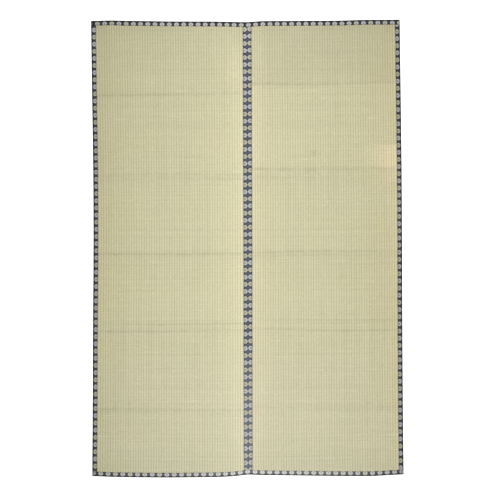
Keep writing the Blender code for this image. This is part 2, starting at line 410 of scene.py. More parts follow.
# Marks on the right strip, in mm in the mat's frame: a small dull spot, and rush that has bleached beside the
# edge above and below a crease. Each has its reach across and along, the share of its length that is even,
# and how much paler and pinker it makes the rush
Mark = namedtuple("Mark", "x y across along even pale blush")
MARKS = (
    Mark(380, 540, 31, 29, 0.0, -0.13, 0.0),
    Mark(844, 517, 215, 75, 0.8, 0.20, 0.9),
    Mark(844, 410, 190, 50, 0.6, 0.09, 0.4),
)

# Painted shade on the rush towards the bottom and top ends, as a share of its brightness
BOTTOM_END_SHADE = -0.08
TOP_END_SHADE = -0.11
END_SHADE_REACH = 90 * MM
BESIDE_TAPE_HIGHLIGHT = 0.10  # how much paler the rush is in a painted highlight along each tape
BESIDE_TAPE_HIGHLIGHT_REACH = 6 * MM

# Camera, as the mat is seen from its foot
CAMERA_ELEVATION = 79.9
CAMERA_DISTANCE = 50.0
VIEW_WIDTH = 2.818  # what the picture spans at the mat
SENSOR = 36.0
AIM = Vector((0.0169, -0.0153, 0.003))
CAMERA_ROLL = -0.33

# Stage and light
FLOOR_HALF = 30.0
FLOOR_DROP = 0.05 * MM
FLOOR_LOOK = {
    "Base Color": (0.9, 0.9, 0.9, 1),
    "Roughness": 0.9,
    "Specular IOR Level": 0.0,
    "Emission Color": (1, 1, 1, 1),
    "Emission Strength": 0.6,
}
ROOM_LIGHT = 0.66
LIGHT_PLACE = (0.05, 0.0, 2.0)
LIGHT_SIZE = (1.0, 5.2)
LIGHT_ENERGY = 62.0


def column(table, name):
    return np.array([getattr(row, name) for row in table])


def eased(at, places, values, reach):
    """Straight pieces through values at places, read at each of at, with their corners rounded over reach."""
    spread = np.linspace(-reach, reach, SMOOTHING_SAMPLES)
    return np.interp(np.add.outer(at, spread), places, values).mean(-1)


def wander(seed, at, length):
    """A smooth uneven curve along at, mostly within 1 of 0, whose bends are about length apart."""
    random = np.random.default_rng(seed)
    stretches = random.uniform(0.6, 1.7, 5) * length
    starts = random.uniform(0, 2 * pi, 5)
    waves = [np.sin(2 * pi * at / stretch + start) for stretch, start in zip(stretches, starts)]
    return np.sum(waves, axis=0) / len(waves) ** 0.5 / 1.2


def outline_x(name, y):
    """The x of an edge or of the joint at the heights y above the bottom end, before centring."""
    places = column(SECTIONS, "right_y" if name == "right_edge" else "left_y") * MM
    return eased(y, places, column(SECTIONS, name) * MM, OUTLINE_SMOOTHING)


def end_y(end, across):
    """The y of the bottom or top outline across the mat, before centring."""
    steps = np.linspace(0, 1, END_STEPS + 1)
    if end == "bottom":
        values = eased(steps, column(ENDS, "across"), column(ENDS, "bottom_in") * MM, END_SMOOTHING)
    else:
        tops = eased(steps, column(ENDS, "across"), column(ENDS, "top_out") * MM, END_SMOOTHING)
        values = MAT_LENGTH + tops
    return np.interp(across, steps, values)


def box_centre():
    """The middle of the whole outline, which becomes x = y = 0."""
    y = np.linspace(0, MAT_LENGTH, OUTLINE_SAMPLES)
    across = np.linspace(0, 1, OUTLINE_SAMPLES)
    x = (outline_x("left_edge", y).min() + outline_x("right_edge", y).max()) / 2
    return np.array([x, (end_y("bottom", across).min() + end_y("top", across).max()) / 2])


CENTRE = box_centre()


def to_end(rows):
    """How far heights above the bottom end are from the nearer end."""
    return np.minimum(rows, MAT_LENGTH - rows)


def smooth_step(at, low, high):
    """0 below low and 1 above high, with a soft curve between them."""
    share = np.clip((at - low) / (high - low), 0, 1)
    return share * share * (3 - 2 * share)


def rise(inward):
    """How far the weave is lifted by the tape under it, at a distance in from an edge."""
    return PLY * (1 - smooth_step(inward, SEATED, EASED))


def strip_x(side, inward, y):
    """The x at the share inward from a strip's outer edge to the joint, at the heights y."""
    outer, joint = outline_x(side + "_edge", y), outline_x("joint", y)
    return outer + (joint - outer) * inward


def across_mat(side, inward):
    """A share of a strip's width from its outer edge, as a share of the mat's width from its left edge."""
    return inward / 2 if side == "left" else 1 - inward / 2


def added(name, data):
    """A new object in the scene."""
    made = bpy.data.objects.new(name, data)
    bpy.context.scene.collection.objects.link(made)
    return made


def new_object(name, points, faces, face_values=None, point_values=None):
    """A mesh object. face_values are UV maps and point_values single numbers, both given for each point."""
    points = points.copy()
    points[:, :2] -= CENTRE
    mesh = bpy.data.meshes.new(name)
    mesh.from_pydata(points.tolist(), [], faces.tolist())
    corners = np.empty(len(mesh.loops), dtype=np.int64)
    mesh.loops.foreach_get("vertex_index", corners)
    for layer, values in (face_values or {}).items():
        made = mesh.uv_layers.new(name=layer)
        made.data.foreach_set("uv", values[corners].astype(np.float32).ravel())
    for layer, values in (point_values or {}).items():
        made = mesh.attributes.new(layer, "FLOAT", "POINT")
        made.data.foreach_set("value", values.astype(np.float32).ravel())
    mesh.shade_smooth()
    return added(name, mesh)


def grid_faces(index):
    """Quads between the neighbours of a grid of point numbers."""
    corners = (index[:-1, :-1], index[:-1, 1:], index[1:, 1:], index[1:, :-1])
    return np.stack([corner.ravel() for corner in corners], axis=1)


def rim(index):
    """The border of a grid of point numbers, as one closed loop."""
    return np.concatenate([index[0, :-1], index[:-1, -1], index[-1, :0:-1], index[:0:-1, 0]])


# The rush strips


def rib_columns():
    """Places across a strip from its outer edge at 0 to the joint at 1, with how much of a rib's height each
    has. The ribs under the tapes are pressed flat, which is marked by a height of -1."""
    first = round(SEATED / RIB_PITCH)
    ribs = np.arange(first, RIBS_PER_PANEL - first)
    places = (ribs[:, None] + RIB_PLACES).ravel() / RIBS_PER_PANEL
    heights = np.tile(RIB_HEIGHTS, len(ribs))
    last = (RIBS_PER_PANEL - first) / RIBS_PER_PANEL
    edge = RUSH_INSET / PANEL_WIDTH
    band = PRESSED / PANEL_WIDTH
    joint = 1 - GAP / PANEL_WIDTH
    outer = [edge, (edge + band) / 2, band]
    inner = [1 - band, (joint + 1 - band) / 2, joint]
    return np.concatenate([outer, places, [last], inner]), np.concatenate([[-1] * 3, heights, [0], [-1] * 3])


def panel_rows(side):
    """The heights above the bottom end at which a strip has rows, closest at its creases and ends."""
    rows = [END_ROWS, MAT_LENGTH - END_ROWS]
    stops = [0.0]
    for crease in CREASES[side]:
        y = crease.y * MM
        rows += [y - CREASE_ROWS, y + CREASE_ROWS]
        stops += [y]
    stops += [MAT_LENGTH]
    for line in LINES[side]:
        y = (line.crease + line.above) * MM
        rows += [y - LINE_ROWS, y + LINE_ROWS]
    for low, high in zip(stops[:-1], stops[1:]):
        clear = high - low - 2 * CREASE_ROWS[-1]
        steps = round(clear / FIELD_STEP)
        rows += [low + CREASE_ROWS[-1] + clear * np.arange(1, steps) / steps]
    rows = np.unique(np.round(np.concatenate(rows), 5))
    return rows[np.concatenate([[True], np.diff(rows) > ROW_CLEARANCE])]


def panel_shift(side, rows, across, from_outer):
    """How far the rows shift up at each column, so that they follow the uneven ends and creases."""
    places = [0.0, END_HOLD]
    shifts = [end_y("bottom", across)] * 2
    for crease in CREASES[side]:
        strays = [crease.outer, crease.middle, crease.joint]
        stray = eased(from_outer, [0, 0.5, 1], strays, STRAY_SMOOTHING) * MM
        stray = stray + CREASE_WANDER * wander(crease.y, from_outer * PANEL_WIDTH, CREASE_WANDER_LENGTH)
        places += [crease.y * MM - CREASE_HOLD, crease.y * MM + CREASE_HOLD]
        shifts += [stray] * 2
    places += [MAT_LENGTH - END_HOLD, MAT_LENGTH]
    shifts += [end_y("top", across) - MAT_LENGTH] * 2
    weights = np.array([np.interp(rows, places, one) for one in np.eye(len(places))])
    return weights.T @ np.array(shifts)


def crease_shade(y, soft, fold, rows, from_outer):
    """How dark the painted shade along a fold's line at y and its soft lower side is, over the rows and places
    across a strip.
    """
    above = rows - y * MM
    line = np.exp(-(above / (soft * MM)) ** 2)
    tail = np.where(above < 0, MARK_TAIL * np.exp(above / MARK_TAIL_REACH), 0)
    dark = fold.outer_dark + (fold.joint_dark - fold.outer_dark) * from_outer
    uneven = 1 + MARK_UNEVENNESS * wander(y + 1, from_outer * PANEL_WIDTH, MARK_UNEVEN_LENGTH)
    return np.outer(np.maximum(line, tail), dark * uneven)


def panel_relief(side, rows, from_outer):
    """How far the creases lift the weave, how far they dip its face, and how dark their painted shade is."""
    stays_up = smooth_step((1 - from_outer) * PANEL_WIDTH, FADE_END, FADE_START)
    lift = np.zeros((len(rows), len(from_outer)))
    dip, dark = lift.copy(), lift.copy()
    for crease in CREASES[side]:
        away = np.abs(rows - crease.y * MM)
        slope = np.clip(1 - away / RIDGE_REACH, 0, 1) ** RIDGE_SHARPNESS
        lift += np.outer(slope, stays_up) * crease.ridge * MM
        pinch = (1 + np.cos(pi * np.clip(away / DIP_REACH, 0, 1))) / 2
        dip += np.outer(pinch, stays_up) * DIP_DEPTH
        dark += crease_shade(crease.y, crease.soft, crease, rows, from_outer)
    for line in LINES[side]:
        dark += crease_shade(line.crease + line.above, LINE_SOFT, line, rows, from_outer)
    return lift, dip, dark


def panel_tone_and_light(side, rows, from_outer):
    """How pale the rush is over the strip, mostly as painted light: a painted highlight beside the joint and
    beside the tapes, painted shade towards the outer edge and the ends and on each section between creases,
    and the patches.
    """
    light_and_hue = LIGHT_AND_HUE[side]
    to_joint = (1 - from_outer) * PANEL_WIDTH
    to_edge = from_outer * PANEL_WIDTH
    near_joint = light_and_hue.joint * np.exp(-to_joint / light_and_hue.joint_reach)
    near_edge = light_and_hue.edge * np.exp(-to_edge / light_and_hue.edge_reach)
    near_end = BOTTOM_END_SHADE * np.exp(-rows / END_SHADE_REACH)
    near_end += TOP_END_SHADE * np.exp((rows - MAT_LENGTH) / END_SHADE_REACH)
    folds = column(CREASES[side], "y") * MM
    places = np.stack([folds - SHADE_REACH, folds + SHADE_REACH], axis=1).ravel()
    shades = np.repeat(column(SHADES, side), 2)[1:-1]
    tone = np.outer(np.interp(rows, places, shades) * (1 + near_end), 1 + near_joint + near_edge)
    tone *= 1 + patches(side, rows, from_outer)
    to_tape = np.minimum.outer(to_end(rows), np.minimum(to_joint, to_edge)) - BINDING_WIDTH
    return tone + BESIDE_TAPE_HIGHLIGHT * (1 - smooth_step(to_tape, 0, BESIDE_TAPE_HIGHLIGHT_REACH))


def patches(side, rows, from_outer):
    """How much paler the patches make a strip, over its rows and the places across it."""
    total = np.zeros((len(rows), len(from_outer)))
    for patch in PATCHES:
        if patch.side == side:
            up = (rows - patch.y * MM) / (patch.along * MM)
            over = (from_outer * PANEL_WIDTH - patch.inward * MM) / (patch.across * MM)
            total += patch.pale * np.outer(np.exp(-up ** 2), np.exp(-over ** 2))
    return total


def panel_warmth(side, rows, from_outer):
    """How warm the rush is over the strip, from 0 to 1: most near its edges, and more towards the top end."""
    light_and_hue = LIGHT_AND_HUE[side]
    near_joint = light_and_hue.joint_warmth * np.exp(-(1 - from_outer) * PANEL_WIDTH / JOINT_WARMTH_REACH)
    near_edge = light_and_hue.edge_warmth * np.exp(-from_outer * PANEL_WIDTH / EDGE_WARMTH_REACH)
    uneven = 1 + HUE_UNEVENNESS * wander(WARMTH_SEED[side], rows, WARMTH_LENGTH)
    top = TOP_WARMTH * smooth_step(rows, 0, TOP_WARMTH_FULL)
    return np.outer(uneven, near_joint + near_edge) + top[:, None]


def panel_blush(side, rows, from_outer):
    """How pink the rush is over the strip, from 0 to 1: only beside the tapes of the right strip."""
    to_tape = np.minimum(from_outer, 1 - from_outer) * PANEL_WIDTH
    uneven = 1 + HUE_UNEVENNESS * wander(BLUSH_SEED, rows, BLUSH_LENGTH)
    return np.outer(uneven, LIGHT_AND_HUE[side].blush * np.exp(-to_tape / BLUSH_REACH))


def add_panel(side):
    """One strip of rush: ribs on both faces, lifted by the tapes under its border and by its creases."""
    from_outer, heights = rib_columns()
    rows = panel_rows(side)
    across = across_mat(side, from_outer)
    y = rows[:, None] + panel_shift(side, rows, across, from_outer)
    x = strip_x(side, from_outer, y)
    lift, dip, dark = panel_relief(side, rows, from_outer)
    rib = np.floor(from_outer * RIBS_PER_PANEL)
    apart = rib[None, :] * RIB_UNEVEN_STEP + rows[:, None]
    uneven = wander(RIB_SEED[side], apart, RIB_UNEVEN_LENGTH) * RIB_UNEVENNESS
    ribbed = (to_end(rows) > SEATED + GAP)[:, None] & (heights >= 0)
    relief = (RUSH_CREST - RUSH_GROOVE) * np.clip(heights, 0, 1) * (1 + uneven)
    thickness = np.where(ribbed, RUSH_GROOVE + relief - dip * np.clip(heights, 0, 1), RUSH_PRESSED)
    under = rise(from_outer * PANEL_WIDTH) + rise(to_end(rows))[:, None] + lift
    over = under + thickness
    index = np.arange(x.size).reshape(x.shape)
    top, base = rim(index), rim(index + x.size)
    walls = np.stack([top, np.roll(top, -1), np.roll(base, -1), base], axis=1)
    sheets = [grid_faces(index), grid_faces(index + x.size)[:, ::-1], walls[:, ::-1]]
    faces = np.concatenate(sheets)
    if side == "right":
        faces = faces[:, ::-1]
    points = np.concatenate([np.stack([x, y, z], axis=-1).reshape(-1, 3) for z in (over, under)])
    weave = np.stack([np.broadcast_to(from_outer * RIBS_PER_PANEL, x.shape), y], axis=-1).reshape(-1, 2)
    values = {
        # painted shade along the creases and the fainter fold lines
        "crease": dark,
        # painted highlights and shade over the strip, with the patches
        "tone": panel_tone_and_light(side, rows, from_outer),
        "warmth": panel_warmth(side, rows, from_outer),
        "blush": panel_blush(side, rows, from_outer),
    }
    values = {layer: np.tile(value.ravel(), 2) for layer, value in values.items()}
    return new_object("rush_weave_" + side, points, faces, {"Weave": np.tile(weave, (2, 1))}, values)


# The tapes


def fold_profile(face):
    """A folded tape's outer surface from the inner edge of its back to that of its face: distances in from
    the outline, and heights as a share of the stack's height, with the signed distance along the cloth from
    its middle line, which lies a little way in on the face."""
    over = np.linspace(face, FOLD_ROUND, FACE_STEPS + 1)[:-1]
    under = np.linspace(2 * BINDING_WIDTH - face, FOLD_ROUND, FACE_STEPS + 1)[:-1]
    turn = np.linspace(-pi / 2, pi / 2, FOLD_STEPS + 1)
    curve_in = FOLD_ROUND * (1 - np.sqrt(np.abs(np.cos(turn))))
    curve_up = (1 + np.sign(turn) * np.sqrt(np.abs(np.sin(turn)))) / 2
    inward = np.concatenate([under, curve_in, over[::-1]])
    upward = np.concatenate([0 * under, curve_up, 0 * over + 1])
    cloth = np.concatenate([-under, np.linspace(-FOLD_ROUND, FOLD_ROUND, FOLD_STEPS + 1), over[::-1]])
    cloth -= face - BINDING_WIDTH
    return inward, upward, cloth


def pucker(seed, along, across_share):
    """How far a tape bulges between its seam and its fold, at places along it and shares of its width."""
    fine = np.abs(wander(seed + 1, along, PUCKER_LENGTH / 3))
    swell = np.abs(wander(seed, along, PUCKER_LENGTH)) + PUCKER_FINE * fine
    belly = np.sin(pi * np.clip(across_share, 0, 1)) ** PUCKER_FULLNESS
    return np.outer(swell, belly) * PUCKER


def worn(name, kind, at):
    """One column of a tape's wear and painted shade at shares of its length."""
    return np.interp(at, column(WEAR_AND_SHADE[name], "at"), column(WEAR_AND_SHADE[name], kind))


def add_tape(name, outer, cloth, along, flipped):
    """A tape whose outer surface is a grid of points, with its thickness on the inner side, and its stitches.
    The seams lie on the grid's second column from each edge that shows."""
    pattern, fold = PATTERNS[name], FOLDS.get(name)
    index = np.arange(outer.shape[0] * outer.shape[1]).reshape(outer.shape[:2])
    faces = grid_faces(index)
    if flipped:
        faces = faces[:, ::-1]
    place = (along - pattern.first * MM) / (pattern.pitch * MM)
    cloth = np.broadcast_to(cloth, place.shape)
    weave = np.stack([cloth, place], axis=-1).reshape(-1, 2)
    travelled = along.mean(axis=1) - along[0].mean()
    wear_and_shade = {kind: worn(name, kind, travelled / travelled[-1])[:, None] for kind in ("dust", "fade", "soil")}
    values = {layer: np.broadcast_to(wear_and_shade[layer], place.shape).ravel() for layer in ("dust", "fade")}
    # painted shade at the tape's corners; a folded tape adds painted shade along its fold below
    shade = np.broadcast_to(1 - wear_and_shade["soil"], place.shape)
    if fold:
        from_fold = (cloth - BINDING_WIDTH) / MM + fold.face
        shade = shade * (1 - FOLD_SHADE * np.exp(-(from_fold / fold.shaded) ** 2))
    values["shade"] = shade.ravel()
    piece = name.replace("binding", "tape")
    tape = new_object(piece + "_cloth", outer.reshape(-1, 3), faces, {"Tape": weave}, values)
    solid = tape.modifiers.new("Thickness", "SOLIDIFY")
    solid.thickness = TAPE_THICKNESS
    solid.offset = -1
    solid.use_even_offset = True
    seams = [outer[:, -2]] if fold else [outer[:, 1], outer[:, -2]]
    return tape, add_stitches(piece + "_stitches", seams)


def edge_stations():
    """Places along a tape that runs along the mat, measured from the bottom end."""
    count = round((MAT_LENGTH - 2 * RUSH_INSET) / TAPE_STATION)
    return np.linspace(RUSH_INSET, MAT_LENGTH - RUSH_INSET, count + 1)


def add_edge_tape(side):
    """A tape folded round the outer edge of a strip, whose ends lie inside the end tapes."""
    name = "edge_binding_" + side
    face = FOLDS[name].face * MM
    inward, upward, cloth = fold_profile(face)
    rows = edge_stations()
    shares = inward / PANEL_WIDTH
    y = rows[:, None] + panel_shift(side, rows, across_mat(side, shares), shares)
    lift, _, _ = panel_relief(side, rows, shares)
    base = rise(to_end(rows))[:, None] + lift
    seeds = TAPE_SEEDS[name]
    wavy = EDGE_WANDER * wander(seeds.wavy, rows, EDGE_WANDER_LENGTH)[:, None] * (inward / BINDING_WIDTH) ** 2
    bulge = pucker(seeds.pucker, rows, 1 - inward / (face - STITCH_INSET)) * (upward == 1)
    free = smooth_step(to_end(rows), BINDING_WIDTH, EASED)[:, None]
    z = base + upward * (2 * PLY + RUSH_PRESSED) + bulge * free
    towards_joint = 1 if side == "left" else -1
    x = outline_x(side + "_edge", y) + towards_joint * (inward + wavy)
    return add_tape(name, np.stack([x, y, z], axis=-1), cloth, y, side == "right")


def add_centre_tape():
    """A flat tape over the joint, creased along its middle, whose ends lie under the end tapes."""
    rows = edge_stations()
    seeds = TAPE_SEEDS["centre_tape"]
    half = CENTRE_WIDTH / 2
    offset = np.concatenate([-CENTRE_PLACES[:0:-1], CENTRE_PLACES]) * half
    bottom, top = end_y("bottom", 0.5), end_y("top", 0.5)
    y = np.interp(rows, [0, MAT_LENGTH], [bottom, top])
    level = rise(to_end(rows)) + RUSH_PRESSED + PLY + CENTRE_CREASE
    sink = CENTRE_CREASE * (1 - smooth_step(np.abs(offset), 0, CENTRE_CREASE_REACH))
    free = smooth_step(to_end(rows), BINDING_WIDTH, EASED)[:, None]
    bulge = pucker(seeds.pucker, rows, np.abs(offset) / (half - STITCH_INSET)) * free
    wavy = EDGE_WANDER * wander(seeds.wavy, rows, EDGE_WANDER_LENGTH)[:, None] * (offset / half) ** 2
    x = outline_x("joint", y)[:, None] + offset + wavy * np.sign(offset)
    z = level[:, None] - sink + bulge
    y = np.broadcast_to(y[:, None], x.shape)
    return add_tape("centre_tape", np.stack([x, y, z], axis=-1), offset, y, False)


def end_stations():
    """Places across the mat along an end tape, closest where it crosses other tapes."""
    total = 2 * PANEL_WIDTH
    count = round(total / TAPE_STATION)
    even = np.linspace(0, total, count + 1)
    middle = [PANEL_WIDTH - JOINT_PLACES, PANEL_WIDTH + JOINT_PLACES]
    places = np.concatenate([even, CORNER_PLACES, total - CORNER_PLACES, *middle])
    return np.unique(np.round(places, 5)) / total


def add_end_tape(end):
    """One tape folded round the ends of both strips, over the tapes that run along the mat."""
    name = "end_binding_" + end
    face = FOLDS[name].face * MM
    inward, upward, cloth = fold_profile(face)
    across = end_stations()
    from_edge = np.minimum(across, 1 - across) * 2 * PANEL_WIDTH
    from_joint = PANEL_WIDTH - from_edge
    over_edge_tape = PLY * (1 - smooth_step(from_edge, PRESSED, PRESSED + TAPE_STEP))
    over_centre_tape = (PLY + CENTRE_CREASE) * (1 - smooth_step(from_joint, PRESSED, PRESSED + TAPE_STEP))
    height = 2 * PLY + RUSH_PRESSED + rise(from_edge) + over_edge_tape + over_centre_tape
    corner = np.clip(1 - from_edge / CORNER_ROUND, 0, 1)
    pulled_in = CORNER_ROUND * (1 - np.sqrt(1 - corner ** 2)) * CORNER_PULL
    seeds = TAPE_SEEDS[name]
    along = across * 2 * PANEL_WIDTH
    wavy = END_WANDER * wander(seeds.wavy, along, EDGE_WANDER_LENGTH)[:, None] * (inward / face) ** 2
    near_fold = np.clip(1 - inward / face, 0, 1)
    towards_middle = 1 if end == "bottom" else -1
    y = end_y(end, across)[:, None] + towards_middle * (inward + wavy + pulled_in[:, None] * near_fold)
    bulge = pucker(seeds.pucker, along, 1 - inward / (face - STITCH_INSET)) * (upward == 1)
    z = upward * height[:, None] + bulge
    left, right = outline_x("left_edge", y), outline_x("right_edge", y)
    joint = outline_x("joint", y)
    share = across[:, None] * 2
    x = np.where(share < 1, left + (joint - left) * share, joint + (right - joint) * (share - 1))
    return add_tape(name, np.stack([x, y, z], axis=-1), cloth, x, end == "bottom")


# The stitches


def stitch_shape():
    """One stitch along X round the origin: its points, thinner and lower at both ends, and its faces."""
    places = np.linspace(-1, 1, STITCH_RINGS)
    radius = STITCH_THICKNESS / 2 * np.sqrt(1 - STITCH_TAPER * places ** 2)
    turn = np.arange(STITCH_SIDES) * 2 * pi / STITCH_SIDES
    x = np.broadcast_to(places[:, None] * STITCH_LENGTH / 2, (STITCH_RINGS, STITCH_SIDES))
    y = radius[:, None] * np.cos(turn)
    z = radius[:, None] * np.sin(turn) + STITCH_BOW * (1 - places[:, None] ** 2)
    index = np.arange(x.size).reshape(x.shape)
    sides = grid_faces(np.concatenate([index, index[:, :1]], axis=1))
    halves = np.array([[0, 1, 2, 3], [3, 4, 5, 0]])
    faces = np.concatenate([sides, index[0][halves[:, ::-1]], index[-1][halves]])
    return np.stack([x, y, z], axis=-1).reshape(-1, 3), faces


def stitch_run(seam):
    """The middles of the stitches along a line of points, and the directions of their three axes."""
    travelled = np.concatenate([[0], np.cumsum(np.linalg.norm(np.diff(seam, axis=0), axis=1))])
    places = np.arange(STITCH_PITCH / 2, travelled[-1] - STITCH_PITCH / 2, STITCH_PITCH)
    back, middle, front = [
        np.stack([np.interp(places + step, travelled, seam[:, axis]) for axis in range(3)], axis=1)
        for step in (-STITCH_LENGTH / 2, 0, STITCH_LENGTH / 2)
    ]
    ahead = front - back
    ahead /= np.linalg.norm(ahead, axis=1)[:, None]
    aside = np.cross([0, 0, 1], ahead)
    aside /= np.linalg.norm(aside, axis=1)[:, None]
    return middle, np.stack([ahead, aside, np.cross(ahead, aside)], axis=1)


def add_stitches(name, seams):
    """All the stitches of one tape as one object."""
    shape, faces = stitch_shape()
    runs = [stitch_run(seam) for seam in seams]
    middles = np.concatenate([middle for middle, _ in runs])
    axes = np.concatenate([axis for _, axis in runs])
    points = (shape @ axes + middles[:, None]).reshape(-1, 3)
    starts = np.arange(len(middles)) * len(shape)
    return new_object(name, points, (starts[:, None, None] + faces).reshape(-1, 4))


# Materials


class Number:
    """A value on a surface, worked out by the material's nodes."""

    def __init__(self, tree, socket):
        self.tree = tree
        self.socket = socket

    def worked(self, operation, *others):
        node = self.tree.nodes.new("ShaderNodeMath")
        node.operation = operation
        for place, value in enumerate((self, *others)):
            connect(self.tree, value, node.inputs[place])
        return Number(self.tree, node.outputs[0])

    def __neg__(self):
        return self * -1

    def __rsub__(self, other):
        return -self + other

    def ramp(self, low, high):
        """0 at low and 1 at high, with a soft curve between them."""
        node = self.tree.nodes.new("ShaderNodeMapRange")
        node.interpolation_type = "SMOOTHSTEP"
        connect(self.tree, self, node.inputs["Value"])
        node.inputs["From Min"].default_value = low
        node.inputs["From Max"].default_value = high
        return Number(self.tree, node.outputs["Result"])


OPERATIONS = {
    "__add__": "ADD", "__radd__": "ADD", "__sub__": "SUBTRACT", "__mul__": "MULTIPLY", "__rmul__": "MULTIPLY",
    "__truediv__": "DIVIDE", "__pow__": "POWER", "__abs__": "ABSOLUTE", "floor": "FLOOR", "part": "FRACT",
    "wave": "SINE", "snapped": "SNAP", "above": "GREATER_THAN", "least": "MINIMUM", "most": "MAXIMUM",
}
for method, operation in OPERATIONS.items():
    setattr(Number, method, partialmethod(Number.worked, operation))


def connect(tree, value, place):
    if isinstance(value, Number):
        tree.links.new(value.socket, place)
    else:
        place.default_value = value


class Paint:
    """The nodes of one material, with shorthand for those that it uses."""

    def __init__(self, name):
        self.material = bpy.data.materials.new(name)
        self.material.use_nodes = True
        self.tree = self.material.node_tree
        self.shader = self.tree.nodes["Principled BSDF"]

    def node(self, kind, **settings):
        """A new node with these settings."""
        node = self.tree.nodes.new("ShaderNode" + kind)
        for name, value in settings.items():
            setattr(node, name, value)
        return node

    def split(self, socket):
        """The three numbers of a vector or a colour."""
        node = self.node("SeparateXYZ")
        self.tree.links.new(socket, node.inputs[0])
        return [Number(self.tree, output) for output in node.outputs]

    def map(self, layer):
        """The two coordinates of a UV map."""
        return self.split(self.node("UVMap", uv_map=layer).outputs["UV"])[:2]

    def place(self):
        """The x and y of a point in the mat's frame."""
        return self.split(self.node("TexCoord").outputs["Object"])[:2]

    def value(self, layer):
        """One number that the mesh holds for each of its points."""
        return Number(self.tree, self.node("Attribute", attribute_name=layer).outputs["Fac"])

    def joined(self, x, y):
        node = self.node("CombineXYZ")
        connect(self.tree, x, node.inputs[0])
        connect(self.tree, y, node.inputs[1])
        return node.outputs[0]

    def chances(self, x, y):
        """Three random numbers from 0 to 1, the same for equal x and y."""
        node = self.node("TexWhiteNoise", noise_dimensions="2D")
        self.tree.links.new(self.joined(x, y), node.inputs["Vector"])
        return self.split(node.outputs["Color"])

    def noise(self, x, y, detail=2.0):
        """Soft noise from 0 to 1 whose features are about 1 across in x and y."""
        node = self.node("TexNoise", noise_dimensions="2D")
        node.inputs["Scale"].default_value = 1.0
        node.inputs["Detail"].default_value = detail
        self.tree.links.new(self.joined(x, y), node.inputs["Vector"])
        return Number(self.tree, node.outputs["Fac"])

    def mix(self, share, first, second, blend="MIX"):
        """first where share is 0 and second where it is 1. Both are colours."""
        node = self.node("Mix", data_type="RGBA", blend_type=blend)
        connect(self.tree, share, node.inputs["Factor"])
        connect(self.tree, first, node.inputs[6])
        connect(self.tree, second, node.inputs[7])
        return Number(self.tree, node.outputs[2])

    def shaded(self, colour, factor):
        """A colour made brighter or darker by a factor."""
        node = self.node("VectorMath", operation="SCALE")
        self.tree.links.new(colour.socket, node.inputs[0])
        connect(self.tree, factor, node.inputs["Scale"])
        return Number(self.tree, node.outputs[0])

    def finish(self, colour, height, roughness, specular):
        """Sets the shader's colour, its relief from a height in metres, and how it shines."""
        connect(self.tree, colour, self.shader.inputs["Base Color"])
        self.shader.inputs["Roughness"].default_value = roughness
        self.shader.inputs["Specular IOR Level"].default_value = specular
        bump = self.node("Bump")
        bump.inputs["Distance"].default_value = 1.0
        connect(self.tree, height, bump.inputs["Height"])
        self.tree.links.new(bump.outputs["Normal"], self.shader.inputs["Normal"])
        return self.material


RUSH_GREEN = (0.490, 0.468, 0.308, 1)
RUSH_STRAW = (0.500, 0.473, 0.315, 1)
RUSH_PALE = (0.620, 0.600, 0.420, 1)
RUSH_BROWN = (0.360, 0.300, 0.180, 1)
WARMTH = (1.000, 0.987, 0.870, 1)
BLUSH = (1.000, 0.935, 0.955, 1)

GROUND = (0.023, 0.020, 0.026, 1)
INDIGO = (0.030, 0.048, 0.100, 1)
INDIGO_PALE = (0.058, 0.092, 0.160, 1)
SILVER = (0.302, 0.308, 0.325, 1)
CREAM = (0.302, 0.296, 0.238, 1)
TAUPE = (0.183, 0.168, 0.161, 1)
OLIVE = (0.179, 0.173, 0.116, 1)
FADED = (0.560, 0.550, 0.510, 1)
DUST = (0.188, 0.200, 0.215, 1)
THREAD = (0.020, 0.020, 0.040, 1)

HEART_FADES = 0.70  # the share of a medallion's fading that shows in its heart


def loose_stems(paint, across, along):
    """The single stems on top of the weave: up to 1 on pale ones, down to -1 on dark ones, else 0."""
    cell_x, cell_y = across / LOOSE_CELL_RIBS, along / LOOSE_CELL
    first, second, third = paint.chances(cell_x.floor() + 0.5, cell_y.floor() + 0.5)
    middle_x = first * LOOSE_ROOM_ACROSS + (1 - LOOSE_ROOM_ACROSS) / 2
    middle_y = second * LOOSE_ROOM_ALONG + (1 - LOOSE_ROOM_ALONG) / 2
    from_x = abs(cell_x.part() - middle_x) * LOOSE_CELL_RIBS
    from_y = abs(cell_y.part() - middle_y) * LOOSE_CELL
    strength = (third - LOOSE_DARK_SHARE) * (1 / (1 - LOOSE_DARK_SHARE))
    long = LOOSE_RIBS * (0.5 + second)
    return strength * (1 - (from_x - long).above(0)) * (1 - from_y.above(LOOSE_WIDTH))


